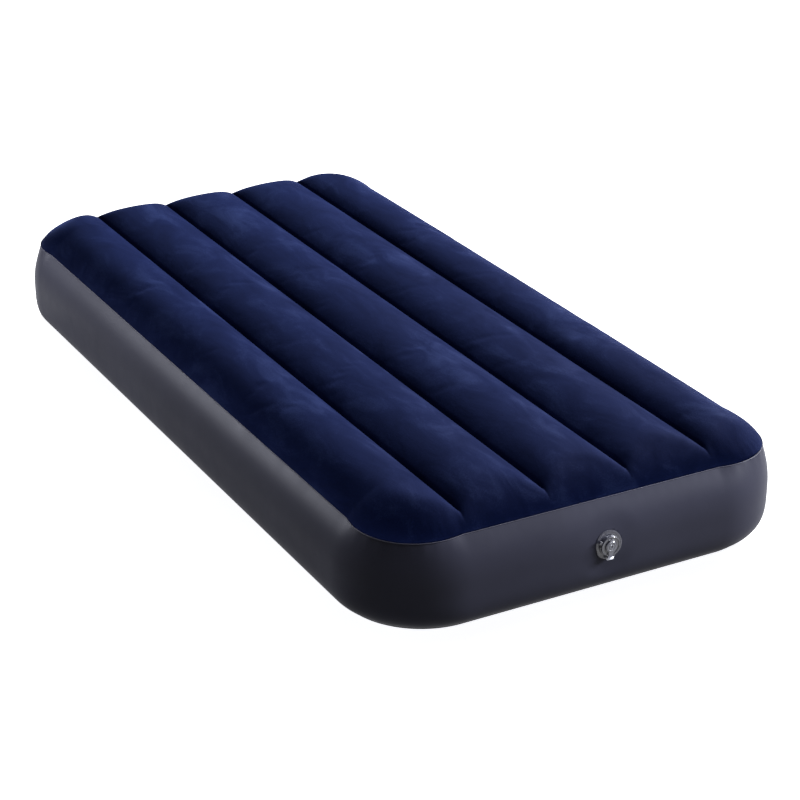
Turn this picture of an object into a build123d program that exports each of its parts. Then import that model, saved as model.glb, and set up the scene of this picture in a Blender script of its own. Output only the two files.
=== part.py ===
from build123d import *
import math
import os

# A twin-size inflatable air mattress with a flocked sleeping surface of five long channels,
# a plain vinyl side wall and bottom, four internal tension beams and a two-in-one air valve.
#
# Millimetres, +Z up. The origin is on the floor, under the middle of the mattress.
# X runs across the width, Y along the length, and the valve is on the end wall at -Y.
# Each sheet is drawn thicker than the real film, so that it stays a sound closed solid.

# ---- driving dimensions of the mattress ----
WIDTH = 965.0           # across the bulging side walls
LENGTH = 1940.0         # across the bulging end walls
HEIGHT = 270.0          # floor to the crest of the channels
SEAM_BOTTOM = 22.0      # height of the weld between bottom sheet and side wall
SEAM_TOP = 209.0        # height of the weld between side wall and top sheet
WALL_BULGE = 36.0       # how far the side wall stands out beyond the two welds
PLAN_CORNER = 193.0     # corner radius in plan at the fullest part of the wall
SHEET = 2.0             # thickness of every sheet
CHANNELS = 5
GROOVE_PITCH = 184.0    # spacing of the grooves where the tension beams are welded
GROOVE_Z = 235.0        # height of the top sheet along a groove
SHOULDER_Z = 213.0      # height of the outer channels at the side welds
CROWN_INSET = 95.0      # the top sheet levels out this far inside its weld
FOOT_INSET = 75.0       # the bottom sheet meets the floor this far inside its weld
SOLE_GROOVE_Z = 12.0    # height of the bottom sheet along a groove
SOLE_GROOVE_HALF = 30.0  # half width of a groove in the bottom sheet

# ---- tension beams ----
BEAM_LENGTH = 1740.0
STRIP_WIDTH = 22.0
STRIP_THICK = 1.5
WEB_THICK = 1.5
WELD_GAP = 0.6          # the strips stay clear of the sheets they are welded to

# ---- valve, in its own frame: x across, y up, z out of the wall ----
VALVE_X = 11.0
VALVE_Z = 127.0
FLANGE_RADIUS = 29.0
FLANGE_THICK = 1.2
SKIN_GAP = 0.3          # clearance between pieces of different bodies
NECK_BORE = 15.0
NECK_OUTER = 18.0
NECK_DEPTH = 16.0       # how far the neck reaches into the mattress
NECK_TOP = 4.5
LIP_RADIUS = 19.6
LIP_THICK = 1.5
HEAD_RADIUS = 20.0
HEAD_THICK = 1.6
RIM_HEIGHT = 1.2
SKIRT_OUTER = 14.93     # a running fit in the neck
SKIRT_INNER = 12.0
SKIRT_END = -10.0
PORT_BORE = 8.0
PORT_OUTER = 9.6
PORT_END = -12.0
SEAL_HEIGHT = -6.0
SEAL_MINOR = 0.7
SEAL_MAJOR = 14.2
CAP_RADIUS = 11.6
CAP_THICK = 1.6
STOPPER_TOP_RADIUS = 7.7
STOPPER_TIP_RADIUS = 6.9
STOPPER_TIP = 1.5
TAB_WIDTH = 15.0        # the finger tab below the plug's head
TAB_REACH = 28.5
HINGE_Y = -20.5         # the cap's hinge line, below the valve's centre
HINGE_BEAD = 0.9
HINGE_FIT = 0.06        # radial clearance of a hinge bead in its lugs
STRAP_WIDTH = 11.0
FLAP_RADIUS = 9.8
FLAP_THICK = 0.8
FLAP_HINGE_Y = 11.3
FLAP_BEAD = 0.7
FLAP_HINGE_Z = -12.9

# ---- derived ----
SEAM_WIDTH = WIDTH - 2 * WALL_BULGE
SEAM_LENGTH = LENGTH - 2 * WALL_BULGE
SEAM_CORNER = PLAN_CORNER - WALL_BULGE
WALL_MID_Z = (SEAM_BOTTOM + SEAM_TOP) / 2
HALF_CHORD = (SEAM_TOP - SEAM_BOTTOM) / 2
WALL_RADIUS = (HALF_CHORD**2 + WALL_BULGE**2) / (2 * WALL_BULGE)
GROOVES = [(i - CHANNELS / 2) * GROOVE_PITCH for i in range(1, CHANNELS)]
EDGES = [-SEAM_WIDTH / 2, *GROOVES, SEAM_WIDTH / 2]
FAR = 2 * LENGTH        # longer than anything it cuts
HEAD_BASE = NECK_TOP + SKIN_GAP
HEAD_FACE = HEAD_BASE + HEAD_THICK
RIM_TOP = HEAD_FACE + RIM_HEIGHT
CAP_BASE = RIM_TOP + SKIN_GAP
CAP_FACE = CAP_BASE + CAP_THICK
HINGE_OUT = CAP_BASE + 0.6


# ---- helpers ----
def along_y(section, length):
    """A section drawn in the XZ plane, pulled out both ways along Y."""
    return extrude(Plane.XZ * section, length / 2, both=True)


def band(section):
    """A section with its weld at x = 0, carried once round the mattress."""
    strip = Plane.XZ * section
    corner_x = SEAM_WIDTH / 2 - SEAM_CORNER
    corner_y = SEAM_LENGTH / 2 - SEAM_CORNER
    side = Pos(SEAM_WIDTH / 2, 0, 0) * extrude(strip, corner_y, both=True)
    end = Rot(0, 0, 90) * Pos(SEAM_LENGTH / 2, 0, 0) * extrude(strip, corner_x, both=True)
    quarter = revolve(Pos(SEAM_CORNER, 0, 0) * strip, Axis.Z, 90)
    whole = side + Rot(0, 0, 180) * side + end + Rot(0, 0, 180) * end
    for turn, x, y in ((0, 1, 1), (90, -1, 1), (180, -1, -1), (270, 1, -1)):
        whole += Pos(x * corner_x, y * corner_y, 0) * Rot(0, 0, turn) * quarter
    return whole


def turned(points):
    """A closed (radius, height) outline turned about the valve's own axis."""
    return revolve(Plane.XZ * make_face(Polyline(*points, close=True)), Axis.Z)


def rod_x(radius, length, y, z):
    """A round bar along the valve's x direction, centred on it."""
    return Pos(0, y, z) * Rot(0, 90, 0) * Cylinder(radius, length)


def place(shape):
    """Moves a valve piece from the valve's frame to the end wall."""
    on_wall = Plane(origin=(VALVE_X, -LENGTH / 2, VALVE_Z), x_dir=(1, 0, 0), z_dir=(0, -1, 0))
    return on_wall.location * shape


def save(name, shape):
    """Writes one sub-part to its STEP file."""
    export_step(shape, f"parts/{name}.step")


# ---- the air-tight envelope ----
def channel_section(inset):
    """Everything under the five crowned channels, lowered and narrowed by inset."""
    crest = HEIGHT - inset
    valley = GROOVE_Z - inset
    shoulder = SHOULDER_Z - inset
    path = []
    for left, right in zip(EDGES, EDGES[1:]):
        z_left = shoulder if left == EDGES[0] else valley
        z_right = shoulder if right == EDGES[-1] else valley
        path.append(ThreePointArc((left, z_left), ((left + right) / 2, crest), (right, z_right)))
    foot = SEAM_BOTTOM
    rest = Polyline((EDGES[-1], shoulder), (EDGES[-1], foot), (EDGES[0], foot), (EDGES[0], shoulder))
    path.append(rest)
    return make_face(path)


def edge_strip(weld_z, level_z, reach, inset):
    """The edge of a space closed by a sheet: an arc from the weld that runs out level."""
    way = math.copysign(1, level_z - weld_z)
    height = abs(level_z - weld_z)
    arc_radius = (height**2 + reach**2) / (2 * height)
    radius = arc_radius - inset
    drop = arc_radius - height
    centre_z = level_z - way * arc_radius
    rim_reach = math.sqrt(radius**2 - drop**2)
    half_angle = math.atan2(rim_reach, drop) / 2
    rim = (rim_reach - reach, weld_z)
    middle = (radius * math.sin(half_angle) - reach, centre_z + way * radius * math.cos(half_angle))
    level = (-reach, level_z - way * inset)
    rest = Polyline(level, (-SEAM_CORNER, level_z - way * inset), (-SEAM_CORNER, weld_z), rim)
    return make_face([ThreePointArc(rim, middle, level), rest])


def pillow(weld_z, level_z, reach, inset):
    """The whole space between the plane of a weld and the sheet, less inset all over."""
    height = abs(level_z - weld_z) - inset
    middle_z = weld_z + math.copysign(height / 2, level_z - weld_z)
    core = Box(SEAM_WIDTH - 2 * SEAM_CORNER, SEAM_LENGTH - 2 * SEAM_CORNER, height)
    return band(edge_strip(weld_z, level_z, reach, inset)) + Pos(0, 0, middle_z) * core


def domed_block(inset):
    """The space under the top sheet: crowned channels along Y, rounded down to the weld."""
    return pillow(SEAM_TOP, HEIGHT, CROWN_INSET, inset) & along_y(channel_section(inset), FAR)


def make_top_panel():
    """The flocked sleeping surface, open underneath."""
    return domed_block(0) - domed_block(SHEET)


def soled_block(inset):
    """The space over the bottom sheet, with the grooves where the tension beams are welded."""
    block = pillow(SEAM_BOTTOM, 0, FOOT_INSET, inset)
    for x in GROOVES:
        half = SOLE_GROOVE_HALF + inset
        arc = ThreePointArc((x - half, 0), (x, SOLE_GROOVE_Z + inset), (x + half, 0))
        block -= along_y(make_face([arc, Line((x + half, 0), (x - half, 0))]), FAR)
    return block


def make_bottom_panel():
    """The vinyl bottom sheet, open upwards, with five flat strips that stand on the floor."""
    return soled_block(0) - soled_block(SHEET)


def wall_strip():
    """The side wall's curved section, with its welds at x = 0 and its bulge towards +x."""
    inner_bulge = WALL_BULGE - SHEET
    foot = (0, SEAM_BOTTOM)
    head = (0, SEAM_TOP)
    outer = ThreePointArc(foot, (WALL_BULGE, WALL_MID_Z), head)
    rim_top = Line(head, (-SHEET, SEAM_TOP))
    inner = ThreePointArc((-SHEET, SEAM_TOP), (inner_bulge, WALL_MID_Z), (-SHEET, SEAM_BOTTOM))
    rim_foot = Line((-SHEET, SEAM_BOTTOM), foot)
    return make_face([outer, rim_top, inner, rim_foot])


def make_side_wall():
    """One bulging band round the mattress, with a hole for the valve."""
    return band(wall_strip()) - place(Cylinder(NECK_OUTER + 0.4, 4 * WALL_BULGE))


# ---- tension beams ----
def make_beam_pieces(x):
    """The upper weld strip, web and lower weld strip of the beam under the groove at x."""
    strip_top = GROOVE_Z - SHEET - WELD_GAP
    strip_foot = SOLE_GROOVE_Z + SHEET + WELD_GAP
    web_low = strip_foot + STRIP_THICK
    web_high = strip_top - STRIP_THICK
    upper = Pos(x, 0, strip_top - STRIP_THICK / 2) * Box(STRIP_WIDTH, BEAM_LENGTH, STRIP_THICK)
    lower = Pos(x, 0, strip_foot + STRIP_THICK / 2) * Box(STRIP_WIDTH, BEAM_LENGTH, STRIP_THICK)
    web = Pos(x, 0, (web_low + web_high) / 2) * Box(WEB_THICK, BEAM_LENGTH, web_high - web_low)
    return upper, web, lower


# ---- valve ----
def make_valve_base():
    """The soft flange welded to the wall, with the neck that holds the plug."""
    neck = turned([
        (NECK_BORE, -NECK_DEPTH), (NECK_OUTER, -NECK_DEPTH), (NECK_OUTER, NECK_TOP - LIP_THICK),
        (LIP_RADIUS, NECK_TOP - LIP_THICK + 0.4), (LIP_RADIUS, NECK_TOP - 0.4),
        (LIP_RADIUS - 0.4, NECK_TOP), (NECK_BORE + 0.5, NECK_TOP), (NECK_BORE, NECK_TOP - 0.5),
    ])
    # the flange follows the curve of the wall that it is welded to
    wall_axis = Pos(VALVE_X, -LENGTH / 2 + WALL_RADIUS, WALL_MID_Z) * Rot(0, 90, 0)
    inner = WALL_RADIUS + SKIN_GAP
    span = 3 * FLANGE_RADIUS
    curved = wall_axis * (Cylinder(inner + FLANGE_THICK, span) - Cylinder(inner, span))
    ridge = wall_axis * (Cylinder(inner + FLANGE_THICK + 0.5, span) - Cylinder(inner, span))
    front_half = 6 * NECK_DEPTH
    disc = Cylinder(FLANGE_RADIUS, front_half) - Cylinder(NECK_BORE, front_half)
    ring = Cylinder(FLANGE_RADIUS - 2.0, front_half) - Cylinder(FLANGE_RADIUS - 3.4, front_half)
    inner_ring = Cylinder(NECK_OUTER + 5.0, front_half) - Cylinder(NECK_OUTER + 3.8, front_half)
    flange = (curved & place(disc)) + (ridge & place(ring)) + (ridge & place(inner_ring))
    return flange + place(neck)


def make_valve_plug():
    """The wide plug for fast deflating, with the small inflating port through its middle."""
    groove = SEAL_MINOR + 0.1
    outline = [
        (PORT_BORE, PORT_END), (PORT_OUTER, PORT_END), (PORT_OUTER, HEAD_BASE), (SKIRT_INNER, HEAD_BASE),
        (SKIRT_INNER, SKIRT_END), (SKIRT_OUTER - 0.6, SKIRT_END), (SKIRT_OUTER, SKIRT_END + 0.6),
        (SKIRT_OUTER, SEAL_HEIGHT - groove), (SEAL_MAJOR - groove, SEAL_HEIGHT - groove),
        (SEAL_MAJOR - groove, SEAL_HEIGHT + groove), (SKIRT_OUTER, SEAL_HEIGHT + groove),
        (SKIRT_OUTER, HEAD_BASE), (HEAD_RADIUS - 0.4, HEAD_BASE), (HEAD_RADIUS, HEAD_BASE + 0.4),
        (HEAD_RADIUS, RIM_TOP - 0.4), (HEAD_RADIUS - 0.4, RIM_TOP), (HEAD_RADIUS - 1.6, RIM_TOP),
        (HEAD_RADIUS - 2.2, HEAD_FACE), (PORT_OUTER + 4.9, HEAD_FACE), (PORT_OUTER + 4.5, HEAD_FACE + 0.5),
        (PORT_OUTER + 3.6, HEAD_FACE + 0.5), (PORT_OUTER + 3.2, HEAD_FACE), (PORT_OUTER + 0.4, HEAD_FACE),
        (PORT_OUTER, RIM_TOP), (PORT_BORE, RIM_TOP),
    ]
    plug = turned(outline)
    # lugs for the cap's hinge, at the foot of the head
    lug_width = 1.8
    lug_x = STRAP_WIDTH / 2 + 0.5 + lug_width / 2
    lug_top = HINGE_OUT + HINGE_BEAD + 0.9
    lug_y = -HEAD_RADIUS - 0.5
    for side in (-1, 1):
        lug = Pos(side * lug_x, lug_y, (HEAD_BASE + lug_top) / 2) * Box(lug_width, 4.0, lug_top - HEAD_BASE)
        plug += fillet(lug.edges().filter_by(Axis.X).group_by(Axis.Z)[-1], 1.2)
    plug -= rod_x(HINGE_BEAD + HINGE_FIT, 2 * HEAD_RADIUS, HINGE_Y, HINGE_OUT)
    # the hinge line passes clear under the cap's strap
    plug -= Pos(0, HINGE_Y, RIM_TOP + 0.4) * Box(STRAP_WIDTH + 1.0, 6.2, 2.4)
    # the finger tab, on the same side as the cap's hinge
    tab_length = TAB_REACH - HEAD_RADIUS + 1.5
    tab = Pos(0, tab_length / 2 - TAB_REACH, HEAD_BASE + 0.8) * Box(TAB_WIDTH, tab_length, 1.5)
    plug += fillet(tab.edges().filter_by(Axis.Z).group_by(Axis.Y)[0], 4.0)
    # hooks for the check flap's hinge, beside the inner end of the port
    for side in (-1, 1):
        foot = Pos(side * 5.6, 9.9, PORT_END + 1.0) * Box(1.4, 5.4, 1.7)
        ear = Pos(side * 5.6, 11.0, PORT_END - 0.5) * Box(1.4, 3.2, 3.6)
        plug += foot + ear - rod_x(FLAP_BEAD + HINGE_FIT, 4 * FLAP_RADIUS, FLAP_HINGE_Y, FLAP_HINGE_Z)
    return plug


def make_plug_seal():
    """The ring that seals the plug in the neck."""
    return Pos(0, 0, SEAL_HEIGHT) * Torus(SEAL_MAJOR, SEAL_MINOR)


def make_check_flap():
    """The flap that air pressure holds against the inner end of the port."""
    middle = PORT_END - 0.1 - FLAP_THICK / 2
    disc = Pos(0, 0, middle) * Cylinder(FLAP_RADIUS, FLAP_THICK)
    tongue = Pos(0, FLAP_HINGE_Y - 2.0, middle) * Box(8.6, 4.0, FLAP_THICK)
    bead = rod_x(FLAP_BEAD, 12.4, FLAP_HINGE_Y, FLAP_HINGE_Z)
    return disc + tongue + bead


def make_nozzle_cap():
    """The small stopper for the inflating port, on a strap with a hinge bead."""
    cap = turned([
        (0, CAP_FACE - 0.7), (2.2, CAP_FACE - 0.7), (2.6, CAP_FACE + 0.6), (4.4, CAP_FACE + 0.6),
        (4.8, CAP_FACE), (7.6, CAP_FACE), (8.0, CAP_FACE + 0.5), (9.2, CAP_FACE + 0.5), (9.6, CAP_FACE),
        (CAP_RADIUS - 0.5, CAP_FACE), (CAP_RADIUS, CAP_FACE - 0.5), (CAP_RADIUS, CAP_BASE),
        (STOPPER_TOP_RADIUS, CAP_BASE), (STOPPER_TIP_RADIUS, STOPPER_TIP),
        (STOPPER_TIP_RADIUS - 1.6, STOPPER_TIP), (STOPPER_TOP_RADIUS - 1.9, CAP_BASE - 1.4),
        (0, CAP_BASE - 1.4),
    ])
    strap_end = HINGE_Y
    strap_start = -CAP_RADIUS + 1.0
    strap_mid = (strap_start + strap_end) / 2
    strap = Pos(0, strap_mid, CAP_BASE + 0.6) * Box(STRAP_WIDTH, strap_start - strap_end, 1.2)
    bead = rod_x(HINGE_BEAD, STRAP_WIDTH + 4.2, HINGE_Y, HINGE_OUT)
    grip = Pos(0, CAP_RADIUS + 1.6, CAP_FACE - 0.8) * Box(7.0, 4.6, 1.4)
    grip = fillet(grip.edges().filter_by(Axis.Z).group_by(Axis.Y)[-1], 2.0)
    return cap + strap + bead + grip


def make_plug_tether():
    """A loose ring under the lip of the neck, with the looped strap that keeps the plug."""
    ring_low = FLANGE_THICK + SKIN_GAP + 0.5
    ring_high = NECK_TOP - LIP_THICK - 0.2
    ring = turned([
        (NECK_OUTER + 0.2, ring_low), (LIP_RADIUS + 1.6, ring_low),
        (LIP_RADIUS + 1.6, ring_high), (NECK_OUTER + 0.2, ring_high),
    ])
    # the loop leaves the ring sideways, turns outwards and comes back to the plug's head
    start = LIP_RADIUS + 1.0
    reach = 5.0
    low = (ring_low + ring_high) / 2
    high = HEAD_BASE + HEAD_THICK / 2
    bend = (high - low) / 2
    path = Polyline((start, low), (start + reach, low))
    path += ThreePointArc((start + reach, low), (start + reach + bend, low + bend), (start + reach, high))
    path += Polyline((start + reach, high), (HEAD_RADIUS + SKIN_GAP, high))
    section = trace(path, ring_high - ring_low)
    strap = extrude(Plane.XZ * section, 3.0, both=True)
    angle = math.degrees(math.atan2(-0.5, 1.0)) + 180
    return Rot(0, 0, angle) * (ring + strap)


# ---- build and write every sub-part ----
def main():
    os.makedirs("parts", exist_ok=True)
    save("top_panel", make_top_panel())
    save("side_wall", make_side_wall())
    save("bottom_panel", make_bottom_panel())
    for number, x in enumerate(GROOVES, start=1):
        upper, web, lower = make_beam_pieces(x)
        save(f"beam_{number}_upper_strip", upper)
        save(f"beam_{number}_web", web)
        save(f"beam_{number}_lower_strip", lower)
    save("valve_base", make_valve_base())
    save("valve_plug", place(make_valve_plug()))
    save("plug_seal", place(make_plug_seal()))
    save("check_flap", place(make_check_flap()))
    save("nozzle_cap", place(make_nozzle_cap()))
    save("plug_tether", place(make_plug_tether()))


main()
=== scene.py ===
import math

import bmesh
import bpy
import numpy as np
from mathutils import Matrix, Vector


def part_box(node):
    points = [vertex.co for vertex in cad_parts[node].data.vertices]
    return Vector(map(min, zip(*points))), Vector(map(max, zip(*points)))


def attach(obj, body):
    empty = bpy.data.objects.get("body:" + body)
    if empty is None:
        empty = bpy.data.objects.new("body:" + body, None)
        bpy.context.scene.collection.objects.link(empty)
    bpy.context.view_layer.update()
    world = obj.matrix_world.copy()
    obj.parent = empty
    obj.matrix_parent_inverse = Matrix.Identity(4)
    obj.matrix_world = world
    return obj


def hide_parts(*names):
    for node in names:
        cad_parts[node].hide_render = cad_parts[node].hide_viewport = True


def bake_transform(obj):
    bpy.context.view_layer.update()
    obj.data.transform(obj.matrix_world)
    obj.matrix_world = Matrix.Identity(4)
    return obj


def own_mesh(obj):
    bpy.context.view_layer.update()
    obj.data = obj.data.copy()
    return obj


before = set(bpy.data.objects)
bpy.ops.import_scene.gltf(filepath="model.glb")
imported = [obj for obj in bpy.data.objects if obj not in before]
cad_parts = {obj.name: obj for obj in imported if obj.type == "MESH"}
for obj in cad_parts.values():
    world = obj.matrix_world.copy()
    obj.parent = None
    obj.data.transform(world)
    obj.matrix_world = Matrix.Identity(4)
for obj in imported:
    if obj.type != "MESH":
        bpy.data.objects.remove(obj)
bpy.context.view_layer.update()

# ---- places and sizes taken from the frame, in metres ----
WALL_LOW, WALL_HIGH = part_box("side_wall")
TOP_LOW, TOP_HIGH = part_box("top_panel")
SOLE_LOW, SOLE_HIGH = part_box("bottom_panel")
VALVE_LOW, VALVE_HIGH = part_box("valve_base")
VALVE_PLACE = Vector(((VALVE_LOW.x + VALVE_HIGH.x) / 2, WALL_LOW.y, (VALVE_LOW.z + VALVE_HIGH.z) / 2))
WEBS = [f"beam_{i}_web" for i in range(1, 5)]
GROOVES = [(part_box(web)[0].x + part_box(web)[1].x) / 2 for web in WEBS]
SEAM_HALF_X = TOP_HIGH.x
SEAM_HALF_Y = TOP_HIGH.y
BULGE = WALL_HIGH.x - TOP_HIGH.x
SEAM_TOP = TOP_LOW.z
CREST = TOP_HIGH.z
SEAM_BOTTOM = SOLE_HIGH.z

# ---- shape of the envelope ----
SEAM_CORNER = 0.157       # corner radius of both welds in plan
GROOVE_DEPTH = 0.032      # below the crests, along the beams
CLEFT_DEPTH = 0.005       # the narrow fold at the foot of each groove, below that
CLEFT_HALF = 0.006        # half its width
CLEFT_START = 0.036       # it begins this far inside the end welds
CROWN_REACH = 0.118       # the top levels out this far inside its weld
CROWN_POWER = 1.36        # 1 is a straight slope, 2 a quarter ellipse
CHANNEL_BOW = 0.80        # how round a channel is between its grooves, under 1
BLEND = 0.006             # how softly the channels turn down into the slope at the edge
CORNER_PUSH = 0.020       # how far the upper weld is drawn out at the corners
UPPER_FULLNESS = 2.6      # 2 is an arc from the widest line to the weld, more is fuller
LOWER_FULLNESS = 4.6
PUCKER = 0.0022           # height of the gathers in the top sheet beside its weld, at the corners
PUCKER_PITCH = 0.017
PUCKER_START = 0.004      # the gathers grow over this distance from the weld
PUCKER_FADE = 0.016       # and die away over this one
RIPPLE = 0.0011           # height of the ripples in the wall below its upper weld
RIPPLE_PITCH = 0.026
RIPPLE_START = 0.004
RIPPLE_FADE = 0.014
WALL_ROWS = 49
HOLE_WIDE = 0.0215        # half width and half height of the wall's hole, under the flange
HOLE_HIGH = 0.0265
PLAIN_WALL = 0.032        # the wall is a plain arc within this of the valve's centre
FREE_WALL = 0.075         # and takes its full shape from here
SOLE_REACH = 0.075        # the bottom sheet meets the floor this far inside its weld
SOLE_GROOVE_DEPTH = 0.012
SOLE_GROOVE_HALF = 0.030
FILM = 0.0012             # thickness of the modelled film, turned inwards
WEB_FILM = 0.0008
WEB_WAVE = 0.0015         # how far a web sways from its plane
WELD_BEAD_TOP = 0.0011    # radius of each weld's edge
WELD_BEAD_BOTTOM = 0.0014
TOP_STEP = 0.0095         # spacing of the top sheet's points before it is subdivided
SOLE_STEP = 0.009
OUTLINE_STEP = 0.007      # spacing of the points along the wall and the weld edges

# ---- settling of the top sheet under air pressure ----
SLACK = 0.001             # the flocked sheet is cut this share larger than the settled shape
AIR_PRESSURE = 4.0
AIR_FRAMES = 14
MOST_MOVE = 0.009         # no point of the sheet moves further
PINNED_EDGE = 0.0065      # points this near the outline are held by the weld
PINNED_BEAM = 0.0055      # and points this near a groove line by its beam


# ---- small mesh helpers ----
def new_mesh(name, vertices, faces):
    """A smooth-shaded mesh object, linked to the scene."""
    mesh = bpy.data.meshes.new(name)
    mesh.from_pydata([tuple(v) for v in vertices], [], faces)
    mesh.validate()
    mesh.polygons.foreach_set("use_smooth", [True] * len(mesh.polygons))
    obj = bpy.data.objects.new(name, mesh)
    bpy.context.scene.collection.objects.link(obj)
    return obj


def grid_faces(rows, columns, wrap=False):
    """Quads over a rows x columns grid of vertices, closed along the columns if wrap."""
    faces = []
    for r in range(rows - 1):
        for c in range(columns if wrap else columns - 1):
            d = (c + 1) % columns
            faces.append((r * columns + c, r * columns + d, (r + 1) * columns + d, (r + 1) * columns + c))
    return faces


def thicken(obj, thickness=FILM, offset=-1):
    """Gives a sheet its thickness: away from its normals at -1, to both sides at 0."""
    solidify = obj.modifiers.new("film", "SOLIDIFY")
    solidify.thickness = thickness
    solidify.offset = offset
    solidify.use_rim = True
    return obj


def smooth_step(low, high, value):
    """0 up to low and 1 from high, with a soft rise between."""
    t = np.clip((value - low) / (high - low), 0, 1)
    return t * t * (3 - 2 * t)


# ---- outline of the welds in plan ----
def inside_depth(x, y):
    """How far a point lies inside the weld's rounded outline."""
    qx = np.abs(x) - (SEAM_HALF_X - SEAM_CORNER)
    qy = np.abs(y) - (SEAM_HALF_Y - SEAM_CORNER)
    outside = np.hypot(np.maximum(qx, 0), np.maximum(qy, 0))
    return SEAM_CORNER - outside - np.minimum(np.maximum(qx, qy), 0)


def past_straights(x, y):
    """How far points lie past the ends of the straight sides, both ways."""
    over_x = np.maximum(np.abs(x) - (SEAM_HALF_X - SEAM_CORNER), 0)
    over_y = np.maximum(np.abs(y) - (SEAM_HALF_Y - SEAM_CORNER), 0)
    return over_x, over_y


def corner_turn(x, y):
    """0 along the straight sides, rising to 1 in the middle of each corner."""
    over_x, over_y = past_straights(x, y)
    return 2 * over_x * over_y / np.maximum(over_x**2 + over_y**2, 1e-12)


def push_corners(x, y):
    """Moves points of the top sheet outwards at the corners, where the weld is drawn out."""
    share = 1 + CORNER_PUSH / SEAM_CORNER * corner_turn(x, y)
    centre_x = np.sign(x) * (SEAM_HALF_X - SEAM_CORNER)
    centre_y = np.sign(y) * (SEAM_HALF_Y - SEAM_CORNER)
    in_corner = (np.abs(x) > np.abs(centre_x)) & (np.abs(y) > np.abs(centre_y))
    new_x = np.where(in_corner, centre_x + (x - centre_x) * share, x)
    new_y = np.where(in_corner, centre_y + (y - centre_y) * share, y)
    return new_x, new_y


def plan_grid(step):
    """A grid of plan points that fills the rounded outline, and its numbers of rows and columns."""
    straight = SEAM_HALF_X - SEAM_CORNER
    turns = int(SEAM_CORNER * math.pi / 2 / step)
    angles = np.linspace(0, math.pi / 2, turns + 1)[1:]
    side = straight + SEAM_CORNER * np.sin(angles)
    stops = [-straight, *GROOVES, straight]
    runs = []
    for a, b in zip(stops, stops[1:]):
        runs.append(np.linspace(a, b, max(2, round((b - a) / step)), endpoint=False))
    # close columns on both sides of each groove, so that its fold stays sharp
    beside = [line + shift for line in GROOVES for shift in (-0.005, -0.002, 0.002, 0.005)]
    xs = np.sort(np.concatenate([-side[::-1], *runs, [straight], side, beside]))
    over = np.clip(np.abs(xs) - straight, 0, SEAM_CORNER)
    reach = SEAM_HALF_Y - SEAM_CORNER + np.sqrt(np.maximum(SEAM_CORNER**2 - over**2, 0))
    rows = int(2 * SEAM_HALF_Y / step) + 1
    share = np.linspace(-1, 1, rows)
    x = np.broadcast_to(xs, (rows, len(xs)))
    y = share[:, None] * reach[None, :]
    return x, y, rows, len(xs)


def outline():
    """Points along the weld and the outward direction at each, all the way round."""
    corner_x = SEAM_HALF_X - SEAM_CORNER
    corner_y = SEAM_HALF_Y - SEAM_CORNER
    points, normals = [], []
    turns = int(SEAM_CORNER * math.pi / 2 / OUTLINE_STEP)
    for quarter, (sx, sy) in enumerate(((1, 1), (-1, 1), (-1, -1), (1, -1))):
        centre = (sx * corner_x, sy * corner_y)
        for k in range(turns):
            a = math.pi / 2 * (quarter + k / turns)
            points.append((centre[0] + SEAM_CORNER * math.cos(a), centre[1] + SEAM_CORNER * math.sin(a)))
            normals.append((math.cos(a), math.sin(a)))
        # the straight side that follows the corner
        a = math.pi / 2 * (quarter + 1)
        run = 2 * (corner_x if quarter % 2 == 0 else corner_y)
        start = (centre[0] + SEAM_CORNER * math.cos(a), centre[1] + SEAM_CORNER * math.sin(a))
        along = (-math.sin(a), math.cos(a))
        count = int(run / OUTLINE_STEP)
        for k in range(count):
            points.append((start[0] + along[0] * run * k / count, start[1] + along[1] * run * k / count))
            normals.append((math.cos(a), math.sin(a)))
    return np.array(points), np.array(normals)


# ---- the top sheet ----
def channel_drop(x):
    """How far each point lies below its channel's crest, from 0 at the crest to 1 at a groove."""
    edges = np.array([-SEAM_HALF_X, *GROOVES, SEAM_HALF_X])
    index = np.clip(np.searchsorted(edges, x, side="right") - 1, 0, len(edges) - 2)
    left, right = edges[index], edges[index + 1]
    across = (x - (left + right) / 2) / ((right - left) / 2)
    lowest = math.sqrt(1 - CHANNEL_BOW**2)
    rounded = (np.sqrt(1 - (CHANNEL_BOW * np.clip(across, -1, 1)) ** 2) - lowest) / (1 - lowest)
    outer_edge = ((index == 0) & (across < 0)) | ((index == len(edges) - 2) & (across > 0))
    return np.where(outer_edge, 0.0, 1 - rounded)


def top_height(x, y):
    """Height of the top sheet before it settles."""
    depth = np.clip(inside_depth(x, y), 0, None)
    t = np.clip(depth / CROWN_REACH, 0, 1)
    crown = (1 - (1 - t) ** CROWN_POWER) ** (1 / CROWN_POWER)
    edge_height = SEAM_TOP + (CREST + 2 * BLEND - SEAM_TOP) * crown
    channel_height = CREST - GROOVE_DEPTH * channel_drop(x)
    # the lower of the two, rounded where they cross: a groove runs level and ends in a point
    gap = edge_height - channel_height
    return (edge_height + channel_height - np.sqrt(gap**2 + BLEND**2)) / 2


def groove_distance(x):
    """How far a point lies across from the nearest groove."""
    return np.min([np.abs(x - line) for line in GROOVES], 0)


def cleft_depth(x, y):
    """The narrow fold along the foot of each groove, which fades in just inside the end welds."""
    across = np.clip(1 - groove_distance(x) / CLEFT_HALF, 0, 1) ** 1.4
    along = smooth_step(CLEFT_START, CLEFT_START + 0.02, SEAM_HALF_Y - np.abs(y))
    return CLEFT_DEPTH * across * along


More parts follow.
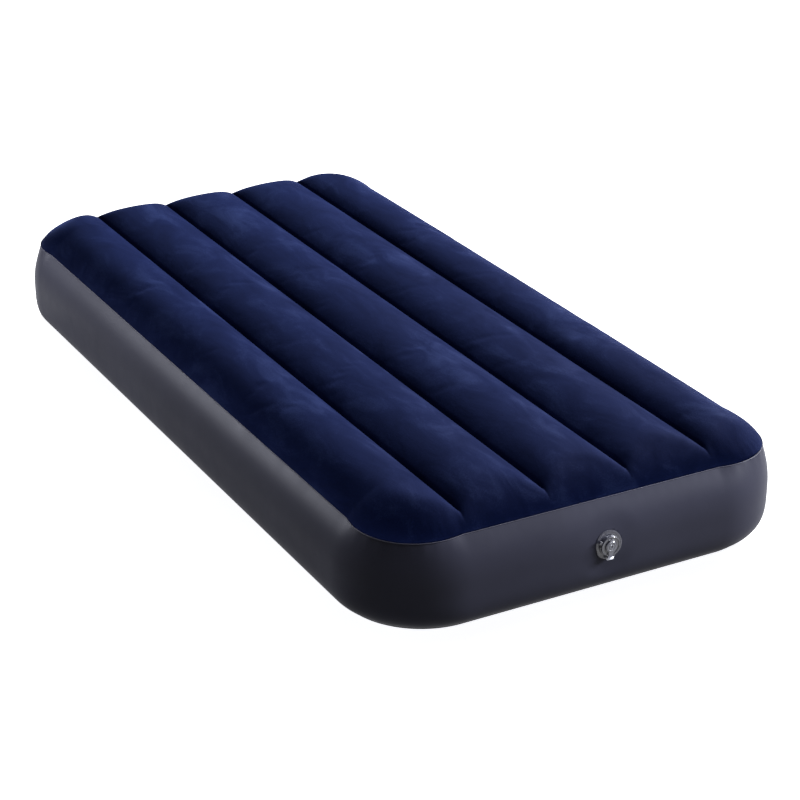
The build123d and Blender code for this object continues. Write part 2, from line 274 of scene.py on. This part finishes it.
def inflate(sheet, pinned):
    """Lets air pressure settle a film between its welds."""
    sheet.vertex_groups.new(name="welds").add([int(i) for i in pinned], 1.0, "REPLACE")
    air = sheet.modifiers.new("air", "CLOTH")
    air.settings.quality = 6
    air.settings.mass = 0.25
    air.settings.tension_stiffness = 30
    air.settings.compression_stiffness = 30
    air.settings.shear_stiffness = 12
    air.settings.bending_stiffness = 4.0
    air.settings.shrink_min = -SLACK
    air.settings.use_pressure = True
    air.settings.uniform_pressure_force = AIR_PRESSURE
    air.settings.effector_weights.gravity = 0
    air.settings.vertex_group_mass = "welds"
    air.point_cache.frame_start = 1
    air.point_cache.frame_end = AIR_FRAMES
    for frame_number in range(1, AIR_FRAMES + 1):
        bpy.context.scene.frame_set(frame_number)
    settled = sheet.evaluated_get(bpy.context.evaluated_depsgraph_get())
    before = np.empty(3 * len(sheet.data.vertices))
    after = np.empty_like(before)
    sheet.data.vertices.foreach_get("co", before)
    settled.data.vertices.foreach_get("co", after)
    move = (after - before).reshape(-1, 3)
    length = np.maximum(np.linalg.norm(move, axis=1, keepdims=True), 1e-9)
    move *= np.minimum(1, MOST_MOVE / length)
    sheet.modifiers.remove(air)
    sheet.data.vertices.foreach_set("co", (before.reshape(-1, 3) + move).ravel())
    sheet.data.update()
    bpy.context.scene.frame_set(1)


def gathers(x, y, depth):
    """Short creases that start at the upper weld and are strongest at the corners."""
    over_x, over_y = past_straights(x, y)
    run = np.where(over_x * over_y > 0, np.arctan2(over_y, over_x) * SEAM_CORNER, np.where(over_x > 0, y, x))
    drift = np.sin(run * 31 + 2 * np.sign(x)) + 0.6 * np.sin(run * 67 + np.sign(y))
    wave = np.sin(2 * math.pi * run / PUCKER_PITCH + 2.2 * drift)
    near_weld = np.exp(-depth / PUCKER_FADE) * (1 - np.exp(-depth / PUCKER_START))
    uneven = 0.6 + 0.4 * np.sin(run * 47)
    return PUCKER * np.maximum(wave, -0.4) * near_weld * (0.06 + corner_turn(x, y) ** 2) * uneven


def make_top():
    """The flocked sheet: channels, settled by air pressure, with the grooves' folds and the gathers."""
    x, y, rows, columns = plan_grid(TOP_STEP)
    z = top_height(x, y)
    points = np.stack([x, y, z], -1).reshape(-1, 3)
    sheet = new_mesh("flocked_top_sheet", points, grid_faces(rows, columns))
    edge = inside_depth(x, y) < PINNED_EDGE
    on_beam = (SEAM_HALF_Y - np.abs(y) > CLEFT_START) & (groove_distance(x) < PINNED_BEAM)
    inflate(sheet, np.flatnonzero(edge | on_beam))
    sheet.modifiers.new("smooth", "SUBSURF").levels = 1
    finer = bpy.data.meshes.new_from_object(sheet.evaluated_get(bpy.context.evaluated_depsgraph_get()))
    sheet.modifiers.clear()
    sheet.data = finer
    place = np.empty(3 * len(finer.vertices))
    finer.vertices.foreach_get("co", place)
    x, y, z = place.reshape(-1, 3).T
    depth = np.clip(inside_depth(x, y), 0, None)
    z = z - cleft_depth(x, y) - gathers(x, y, depth)
    x, y = push_corners(x, y)
    finer.vertices.foreach_set("co", np.stack([x, y, z], -1).ravel())
    finer.update()
    return thicken(sheet)


# ---- the side wall ----
def hole_share(points):
    """0 at the valve's centre, 1 on the edge of the wall's hole."""
    return np.hypot((points[:, 0] - VALVE_PLACE.x) / HOLE_WIDE, (points[:, 2] - VALVE_PLACE.z) / HOLE_HIGH)


def make_wall():
    """The side wall, full between its welds, with a hole for the valve."""
    points, normals = outline()
    lift = np.sin((np.linspace(0, 1, WALL_ROWS) * 2 - 1) * math.pi / 2)[:, None]
    middle, half = (SEAM_TOP + SEAM_BOTTOM) / 2, (SEAM_TOP - SEAM_BOTTOM) / 2
    z = middle + half * lift + 0 * points[None, :, 0]
    # the welded valve keeps the wall on a plain arc around it, on its own side of the bed only
    from_valve = np.hypot(points[None, :, 0] - VALVE_PLACE.x, z - VALVE_PLACE.z)
    far_off = smooth_step(PLAIN_WALL, FREE_WALL, from_valve + 10 * (points[None, :, 1] > 0))
    radius = (half**2 + BULGE**2) / (2 * BULGE)
    arc = BULGE - radius + np.sqrt(radius**2 - (half * lift) ** 2)
    full = BULGE * (1 - np.abs(lift) ** np.where(lift > 0, UPPER_FULLNESS, LOWER_FULLNESS))
    out = arc + (full - arc) * far_off
    turn = corner_turn(points[:, 0], points[:, 1])[None, :]
    upper = np.clip(lift, 0, 1)
    out = out + CORNER_PUSH * turn * upper * (1 - out / BULGE)
    run = np.arange(len(points))[None, :] * OUTLINE_STEP
    below_weld = (SEAM_TOP - z) * 1.2
    drift = 2 * np.sin(run * 9)
    ripple = np.sin(2 * math.pi * run / RIPPLE_PITCH + drift) * np.exp(-below_weld / RIPPLE_FADE)
    out = out + RIPPLE * ripple * (1 - np.exp(-below_weld / RIPPLE_START)) * (0.15 + turn) * far_off
    place = points[None, :, :] + out[:, :, None] * normals[None, :, :]
    vertices = np.concatenate([place, z[:, :, None]], 2).reshape(-1, 3)
    faces = np.array(grid_faces(len(lift), len(points), wrap=True))
    # the hole under the valve's flange, with its edge drawn to a smooth oval
    middles = vertices[faces].mean(1)
    in_hole = (hole_share(middles) < 1) & (middles[:, 1] < 0)
    rim = np.intersect1d(faces[in_hole], faces[~in_hole])
    share = hole_share(vertices[rim])[:, None]
    centre = np.array([VALVE_PLACE.x, 0, VALVE_PLACE.z])
    offset = (vertices[rim] - centre) / share
    offset[:, 1] = vertices[rim][:, 1]
    vertices[rim] = centre + offset
    used, again = np.unique(faces[~in_hole], return_inverse=True)
    return thicken(new_mesh("side_wall_skin", vertices[used], again.reshape(-1, 4).tolist()))


# ---- the bottom sheet ----
def sole_height(x, y):
    """Height of the bottom sheet: flat on the floor, raised at its edge and along the beams."""
    depth = np.clip(inside_depth(x, y), 0, None)
    radius = (SEAM_BOTTOM**2 + SOLE_REACH**2) / (2 * SEAM_BOTTOM)
    away = np.clip(SOLE_REACH - depth, 0, None)
    edge = radius - np.sqrt(np.maximum(radius**2 - away**2, 0))
    groove = np.zeros_like(edge)
    for line in GROOVES:
        rise = smooth_step(0, 1, 1 - np.abs(x - line) / SOLE_GROOVE_HALF)
        groove = np.maximum(groove, SOLE_GROOVE_DEPTH * rise)
    return np.maximum(edge, groove * smooth_step(0.02, 0.12, depth))


def make_sole():
    x, y, rows, columns = plan_grid(SOLE_STEP)
    points = np.stack([x, y, sole_height(x, y)], -1).reshape(-1, 3)
    faces = [tuple(reversed(face)) for face in grid_faces(rows, columns)]
    return thicken(new_mesh("bottom_sheet", points, faces))


# ---- the welds ----
def make_weld(name, height, radius, stand_out, push):
    """The thin folded edge of a weld, a bead that runs all round."""
    points, normals = outline()
    points = points + push * corner_turn(points[:, 0], points[:, 1])[:, None] * normals
    around = 8
    vertices = []
    for k in range(around):
        a = 2 * math.pi * k / around
        offset = stand_out + radius * math.cos(a)
        z = height + radius * math.sin(a)
        vertices += [(p[0] + n[0] * offset, p[1] + n[1] * offset, z) for p, n in zip(points, normals)]
    count = len(points)
    faces = []
    for r in range(around):
        s = (r + 1) % around
        for c in range(count):
            d = (c + 1) % count
            faces.append((r * count + d, s * count + d, s * count + c, r * count + c))
    return new_mesh(name, vertices, faces)


# ---- tension beams ----
def make_web(name):
    """The upright film of one beam, a little wavy along its length."""
    low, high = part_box(name)
    middle = (low.x + high.x) / 2
    rows, columns = 13, 90
    z = np.linspace(low.z, high.z, rows)
    y = np.linspace(low.y, high.y, columns)
    along = np.sin(np.linspace(0, 17 * math.pi, columns))
    upward = np.sin(np.linspace(0, math.pi, rows))
    wave = WEB_WAVE * along[None, :] * upward[:, None]
    vertices = [(middle + wave[r, c], y[c], z[r]) for r in range(rows) for c in range(columns)]
    return thicken(new_mesh(name + "_film", vertices, grid_faces(rows, columns)), WEB_FILM, offset=0)


# ---- the valve's tab and tether ----
def valve_point(x, y, z):
    """A point given across, up and out of the wall from the valve's centre."""
    return VALVE_PLACE + Vector((x, -z, y))


def make_tab():
    """The thicker grip moulded round the plug's finger tab, with a raised lip at its end."""
    half_wide, near, far = 0.0078, -0.0208, -0.0290
    low, high, lip = 0.0046, 0.0066, 0.0074
    lip_start, lip_full = 0.0026, 0.0016
    narrow_end, rounding = 0.8, 0.0005
    made = bmesh.new()
    rows = [(near, high), (far + lip_start, high), (far + lip_full, lip), (far, lip)]
    tops, feet = [], []
    for y, z in rows:
        sides = [side * half_wide * (narrow_end if y == far else 1) for side in (-1, 1)]
        tops.append([made.verts.new(valve_point(x, y, z)) for x in sides])
        feet.append([made.verts.new(valve_point(x, y, low)) for x in sides])
    for k in range(len(rows) - 1):
        made.faces.new((tops[k][0], tops[k + 1][0], tops[k + 1][1], tops[k][1]))
        made.faces.new((feet[k][0], feet[k][1], feet[k + 1][1], feet[k + 1][0]))
        for side in (0, 1):
            made.faces.new((tops[k][side], feet[k][side], feet[k + 1][side], tops[k + 1][side]))
    for end in (0, -1):
        made.faces.new((tops[end][0], tops[end][1], feet[end][1], feet[end][0]))
    bmesh.ops.recalc_face_normals(made, faces=made.faces)
    bmesh.ops.bevel(made, geom=list(made.edges), offset=rounding, segments=3, affect="EDGES")
    mesh = bpy.data.meshes.new("plug_finger_grip")
    made.to_mesh(mesh)
    made.free()
    mesh.polygons.foreach_set("use_smooth", [True] * len(mesh.polygons))
    grip = bpy.data.objects.new("plug_finger_grip", mesh)
    bpy.context.scene.collection.objects.link(grip)
    return grip


def make_tether():
    """A ring round the neck, and a looped strap from it to the plug's head."""
    vertices, faces = [], []
    turns = 96
    inner, outer, low, high, edge = 0.0182, 0.0212, 0.0020, 0.0028, 0.0002
    section = [(inner, low + edge), (inner + edge, low), (outer - edge, low), (outer, low + edge),
               (outer, high - edge), (outer - edge, high), (inner + edge, high), (inner, high - edge)]
    count = len(section)
    for k in range(turns):
        a = 2 * math.pi * k / turns
        vertices += [valve_point(radius * math.cos(a), radius * math.sin(a), z) for radius, z in section]
    for k in range(turns):
        for c in range(count):
            n, d = (k + 1) % turns, (c + 1) % count
            faces.append((k * count + c, k * count + d, n * count + d, n * count + c))
    # the strap's line: out from the ring, round a small bend and back to the head
    base, head = (low + high) / 2, 0.0056
    bend = (head - base) / 2
    on_ring, on_head, turned = 0.0206, 0.0203, 0.0256
    line = [(radius, base) for radius in np.linspace(on_ring, turned, 6)]
    for a in np.linspace(0.2, math.pi - 0.2, 14):
        line.append((turned + bend * math.sin(a), base + bend * (1 - math.cos(a))))
    line += [(radius, head) for radius in np.linspace(turned, on_head, 6)]
    line = np.array(line)
    ahead = np.gradient(line, axis=0)
    ahead /= np.linalg.norm(ahead, axis=1, keepdims=True)
    side = np.stack([-ahead[:, 1], ahead[:, 0]], 1)
    half_thick, half_wide = 0.0004, 0.003
    way = math.radians(153.4)
    corners = [(-1, -0.9), (-0.6, -1), (0.6, -1), (1, -0.9), (1, 0.9), (0.6, 1), (-0.6, 1), (-1, 0.9)]
    start = len(vertices)
    for (radius, z), (side_r, side_z) in zip(line, side):
        for thick, wide in corners:
            r = radius + side_r * half_thick * thick
            h = z + side_z * half_thick * thick
            w = half_wide * wide
            across = r * math.cos(way) - w * math.sin(way)
            up = r * math.sin(way) + w * math.cos(way)
            vertices.append(valve_point(across, up, h))
    eight = len(corners)
    for k in range(len(line) - 1):
        for c in range(eight):
            d = (c + 1) % eight
            a, b = start + k * eight, start + (k + 1) * eight
            faces.append((a + c, a + d, b + d, b + c))
    faces.append(tuple(start + c for c in reversed(range(eight))))
    faces.append(tuple(start + (len(line) - 1) * eight + c for c in range(eight)))
    return new_mesh("valve_tether_strap", vertices, faces)


# ---- materials ----
class Nodes:
    """Short calls for building one node material."""

    def __init__(self, name):
        self.material = bpy.data.materials.new(name)
        self.material.use_nodes = True
        self.tree = self.material.node_tree
        self.shader = self.tree.nodes["Principled BSDF"]
        self.place = self.tree.nodes.new("ShaderNodeTexCoord").outputs["Object"]

    def node(self, kind, inputs=None, **settings):
        made = self.tree.nodes.new(kind)
        for key, value in settings.items():
            setattr(made, key, value)
        for key, value in (inputs or {}).items():
            if isinstance(value, bpy.types.NodeSocket):
                self.tree.links.new(value, made.inputs[key])
            else:
                made.inputs[key].default_value = value
        return made

    def stretched(self, scale):
        return self.node("ShaderNodeMapping", {"Vector": self.place, "Scale": scale}).outputs["Vector"]

    def noise(self, scale, detail=4.0, roughness=0.55, vector=None, distortion=0.0):
        inputs = {"Vector": vector or self.place, "Scale": scale, "Detail": detail,
                  "Roughness": roughness, "Distortion": distortion}
        return self.node("ShaderNodeTexNoise", inputs).outputs["Fac"]

    def ramp(self, factor, stops):
        made = self.node("ShaderNodeValToRGB", {"Fac": factor})
        elements = made.color_ramp.elements
        while len(elements) < len(stops):
            elements.new(0.5)
        for element, (position, colour) in zip(elements, stops):
            element.position = position
            element.color = (*colour, 1)
        return made.outputs["Color"]

    def maths(self, operation, a, b):
        return self.node("ShaderNodeMath", {0: a, 1: b}, operation=operation).outputs[0]

    def spread(self, factor, low, high, to_low, to_high):
        inputs = {"Value": factor, "From Min": low, "From Max": high, "To Min": to_low, "To Max": to_high}
        return self.node("ShaderNodeMapRange", inputs).outputs["Result"]

    def bump(self, height, strength, distance, normal=None):
        inputs = {"Height": height, "Strength": strength, "Distance": distance}
        if normal is not None:
            inputs["Normal"] = normal
        return self.node("ShaderNodeBump", inputs).outputs["Normal"]

    def link(self, socket, name):
        self.tree.links.new(socket, self.shader.inputs[name])

    def set(self, **values):
        for name, value in values.items():
            self.shader.inputs[name.replace("_", " ")].default_value = value


def flock_material():
    """Short velvet flock: brushed streaks and mottling over a fine nap, whose lightest, greyer patches are
    painted sheen highlights.
    """
    made = Nodes("flock_navy")
    brushed = made.noise(16.0, 5.0, 0.6, made.stretched((1.0, 0.45, 1.0)), 0.6)
    blotch = made.noise(5.0, 3.0, 0.5)
    grain = made.noise(420.0, 2.0, 0.7)
    mixed = made.maths("ADD", made.maths("MULTIPLY", brushed, 0.65), made.maths("MULTIPLY", blotch, 0.35))
    mottling_and_painted_sheen = made.maths("ADD", mixed, made.maths("MULTIPLY", made.maths("SUBTRACT", grain, 0.5), 0.28))
    # the nap's own uneven tone, with painted sheen highlights in the lightest, greyer stop
    colour = made.ramp(mottling_and_painted_sheen, [(0.3, (0.0035, 0.0068, 0.034)), (0.52, (0.0062, 0.0118, 0.056)),
                                  (0.74, (0.021, 0.034, 0.115))])
    made.link(colour, "Base Color")
    made.link(made.spread(brushed, 0.3, 0.7, 0.95, 0.78), "Roughness")
    fine = made.bump(grain, 0.35, 0.0006)
    made.link(made.bump(brushed, 0.25, 0.004, fine), "Normal")
    made.set(Sheen_Weight=0.12, Sheen_Roughness=0.35, Specular_IOR_Level=0.02)
    made.shader.inputs["Sheen Tint"].default_value = (0.25, 0.36, 1.0, 1)
    return made.material


def vinyl_material(name, dark, light, roughness, gloss):
    """Satin vinyl film with a faint pressed grain and uneven gloss."""
    made = Nodes(name)
    cloud = made.noise(3.5, 4.0, 0.55)
    grain = made.noise(900.0, 2.0, 0.6)
    ripple = made.noise(26.0, 3.0, 0.5)
    made.link(made.ramp(cloud, [(0.3, dark), (0.7, light)]), "Base Color")
    uneven = made.maths("ADD", made.maths("MULTIPLY", ripple, 0.12), roughness - 0.06)
    made.link(uneven, "Roughness")
    fine = made.bump(grain, 0.12, 0.0003)
    made.link(made.bump(ripple, 0.08, 0.003, fine), "Normal")
    made.set(Specular_IOR_Level=gloss)
    return made.material


def clear_material(name, dark, light, roughness, alpha):
    """Half-clear moulded plastic over a dark wall, a little cloudy."""
    made = Nodes(name)
    cloud = made.noise(160.0, 3.0, 0.6)
    flow = made.noise(45.0, 2.0, 0.5)
    made.link(made.ramp(cloud, [(0.3, dark), (0.7, light)]), "Base Color")
    made.link(made.spread(flow, 0.3, 0.7, roughness * 0.8, roughness * 1.3), "Roughness")
    made.link(made.bump(flow, 0.15, 0.0004), "Normal")
    made.set(IOR=1.47, Alpha=alpha, Coat_Weight=0.5, Coat_Roughness=0.28)
    return made.material


def rubber_material(name):
    """Dull black rubber, a little dusty."""
    made = Nodes(name)
    dust = made.noise(300.0, 3.0, 0.6)
    made.link(made.ramp(dust, [(0.35, (0.012, 0.012, 0.013)), (0.7, (0.03, 0.03, 0.032))]), "Base Color")
    made.link(made.spread(dust, 0.3, 0.7, 0.55, 0.75), "Roughness")
    made.link(made.bump(dust, 0.1, 0.0002), "Normal")
    return made.material


def give(obj, material):
    obj.data.materials.clear()
    obj.data.materials.append(material)


# ---- build ----
flock = flock_material()
wall_vinyl = vinyl_material("wall_vinyl", (0.0077, 0.0078, 0.0114), (0.0101, 0.0103, 0.0148), 0.45, 0.022)
sole_vinyl = vinyl_material("sole_vinyl", (0.012, 0.0125, 0.017), (0.018, 0.0185, 0.025), 0.5, 0.22)
weld_vinyl = vinyl_material("weld_vinyl", (0.008, 0.008, 0.013), (0.012, 0.012, 0.02), 0.6, 0.1)
beam_vinyl = vinyl_material("beam_vinyl", (0.16, 0.16, 0.18), (0.22, 0.22, 0.24), 0.5, 0.5)
strip_vinyl = vinyl_material("strip_vinyl", (0.1, 0.1, 0.115), (0.15, 0.15, 0.17), 0.45, 0.5)
soft_clear = clear_material("soft_clear", (0.009, 0.0092, 0.014), (0.016, 0.0164, 0.024), 0.3, 0.85)
hard_clear = clear_material("hard_clear", (0.009, 0.0092, 0.013), (0.022, 0.0225, 0.03), 0.18, 0.95)
cap_clear = clear_material("cap_clear", (0.012, 0.0125, 0.018), (0.03, 0.031, 0.04), 0.2, 0.95)
tab_clear = clear_material("tab_clear", (0.36, 0.37, 0.41), (0.46, 0.47, 0.51), 0.22, 0.95)
rubber = rubber_material("black_rubber")

top = make_top()
give(top, flock)
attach(top, "deck")
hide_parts("top_panel")

wall = make_wall()
give(wall, wall_vinyl)
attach(wall, "envelope")
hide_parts("side_wall")
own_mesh(wall)

sole = make_sole()
give(sole, sole_vinyl)
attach(sole, "envelope")
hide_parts("bottom_panel")

top_weld = make_weld("top_weld_edge", SEAM_TOP, WELD_BEAD_TOP, 0.0003, CORNER_PUSH)
give(top_weld, weld_vinyl)
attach(top_weld, "deck")

bottom_weld = make_weld("bottom_weld_edge", SEAM_BOTTOM, WELD_BEAD_BOTTOM, 0.0004, 0)
give(bottom_weld, weld_vinyl)
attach(bottom_weld, "envelope")

for web_name in WEBS:
    web = make_web(web_name)
    give(web, beam_vinyl)
    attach(web, "envelope")
    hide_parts(web_name)
    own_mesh(web)

grip = make_tab()
give(grip, tab_clear)
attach(grip, "plug")

tether = make_tether()
give(tether, soft_clear)
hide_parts("plug_tether")
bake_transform(tether)

finishes = {"valve_base": soft_clear, "valve_plug": hard_clear, "plug_seal": rubber, "check_flap": rubber,
            "nozzle_cap": cap_clear}
for name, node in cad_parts.items():
    if name.endswith("_strip"):
        give(node, strip_vinyl)
    elif name in finishes:
        give(node, finishes[name])


# ---- floor, light and camera ----
FLOOR_GLOW = 1.0
WORLD_LIGHT = 0.12
PALE_BLUE = (0.88, 0.9, 1.0)
SENSOR = 36               # the camera's sensor width in millimetres
FOCAL_LENGTH = 2.771375 * SENSOR


def make_floor():
    """A pale studio floor, softly lit from within so that shadows on it stay faint."""
    half = 40.0
    corners = [(-half, -half, 0), (half, -half, 0), (half, half, 0), (-half, half, 0)]
    floor = new_mesh("floor", corners, [(0, 1, 2, 3)])
    made = Nodes("floor_white")
    speck = made.noise(3.0, 2.0, 0.5)
    made.link(made.ramp(speck, [(0.3, (0.78, 0.78, 0.78)), (0.7, (0.82, 0.82, 0.82))]), "Base Color")
    made.link(made.ramp(speck, [(0.3, (0.94, 0.945, 0.98)), (0.7, (0.96, 0.965, 1.0))]), "Emission Color")
    made.set(Roughness=0.9, Emission_Strength=FLOOR_GLOW, Specular_IOR_Level=0.1)
    give(floor, made.material)


def area_light(name, place, target, size, power, colour=(1, 1, 1)):
    """A rectangular light at a place, turned to a target."""
    light = bpy.data.lights.new(name, "AREA")
    light.shape = "RECTANGLE"
    light.size, light.size_y = size
    light.energy = power
    light.color = colour
    obj = bpy.data.objects.new(name, light)
    bpy.context.scene.collection.objects.link(obj)
    obj.location = place
    obj.rotation_euler = (Vector(target) - Vector(place)).to_track_quat("-Z", "Y").to_euler()
    return obj


def make_camera(azimuth, elevation, distance, target):
    """A camera at a distance from a target, in degrees to the side and up."""
    camera = bpy.data.cameras.new("camera")
    camera.sensor_width = SENSOR
    camera.lens = FOCAL_LENGTH
    camera.clip_end = 60
    obj = bpy.data.objects.new("camera", camera)
    bpy.context.scene.collection.objects.link(obj)
    a, e = math.radians(azimuth), math.radians(elevation)
    back = Vector((math.sin(a) * math.cos(e), -math.cos(a) * math.cos(e), math.sin(e)))
    obj.location = Vector(target) + back * distance
    obj.rotation_euler = (-back).to_track_quat("-Z", "Y").to_euler()
    bpy.context.scene.camera = obj


make_floor()
make_camera(-28.6363, 24.7435, 4.8859, (0.0168, -0.1338, 0.0895))
area_light("key_back_right", (5.9, 2.5, 4.1), (0, 0, 0.2), (2.4, 2.4), 1300)
wall_lights = [
    area_light("rim_back_left", (-1.9, 2.0, 1.35), (-0.45, 0.8, 0.12), (1.2, 1.0), 270, PALE_BLUE),
    area_light("fill_front", (1.1, -2.0, 4.6), (0.2, -0.97, 0.15), (2.2, 1.6), 520, PALE_BLUE),
    area_light("rim_right", (3.7, -2.3, 1.9), (0.48, -0.8, 0.12), (1.4, 1.2), 1250, PALE_BLUE),
]
lit = bpy.data.collections.new("lit_by_wall_lights")
valve_nodes = [node for name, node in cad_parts.items() if name in finishes]
for obj in [wall, sole, top_weld, bottom_weld, tether, grip, *valve_nodes]:
    lit.objects.link(obj)
for light in wall_lights:
    light.light_linking.receiver_collection = lit
bpy.context.scene.view_settings.view_transform = "Standard"
world = bpy.data.worlds.new("studio")
world.use_nodes = True
world.node_tree.nodes["Background"].inputs["Color"].default_value = (1, 1, 1, 1)
world.node_tree.nodes["Background"].inputs["Strength"].default_value = WORLD_LIGHT
bpy.context.scene.world = world
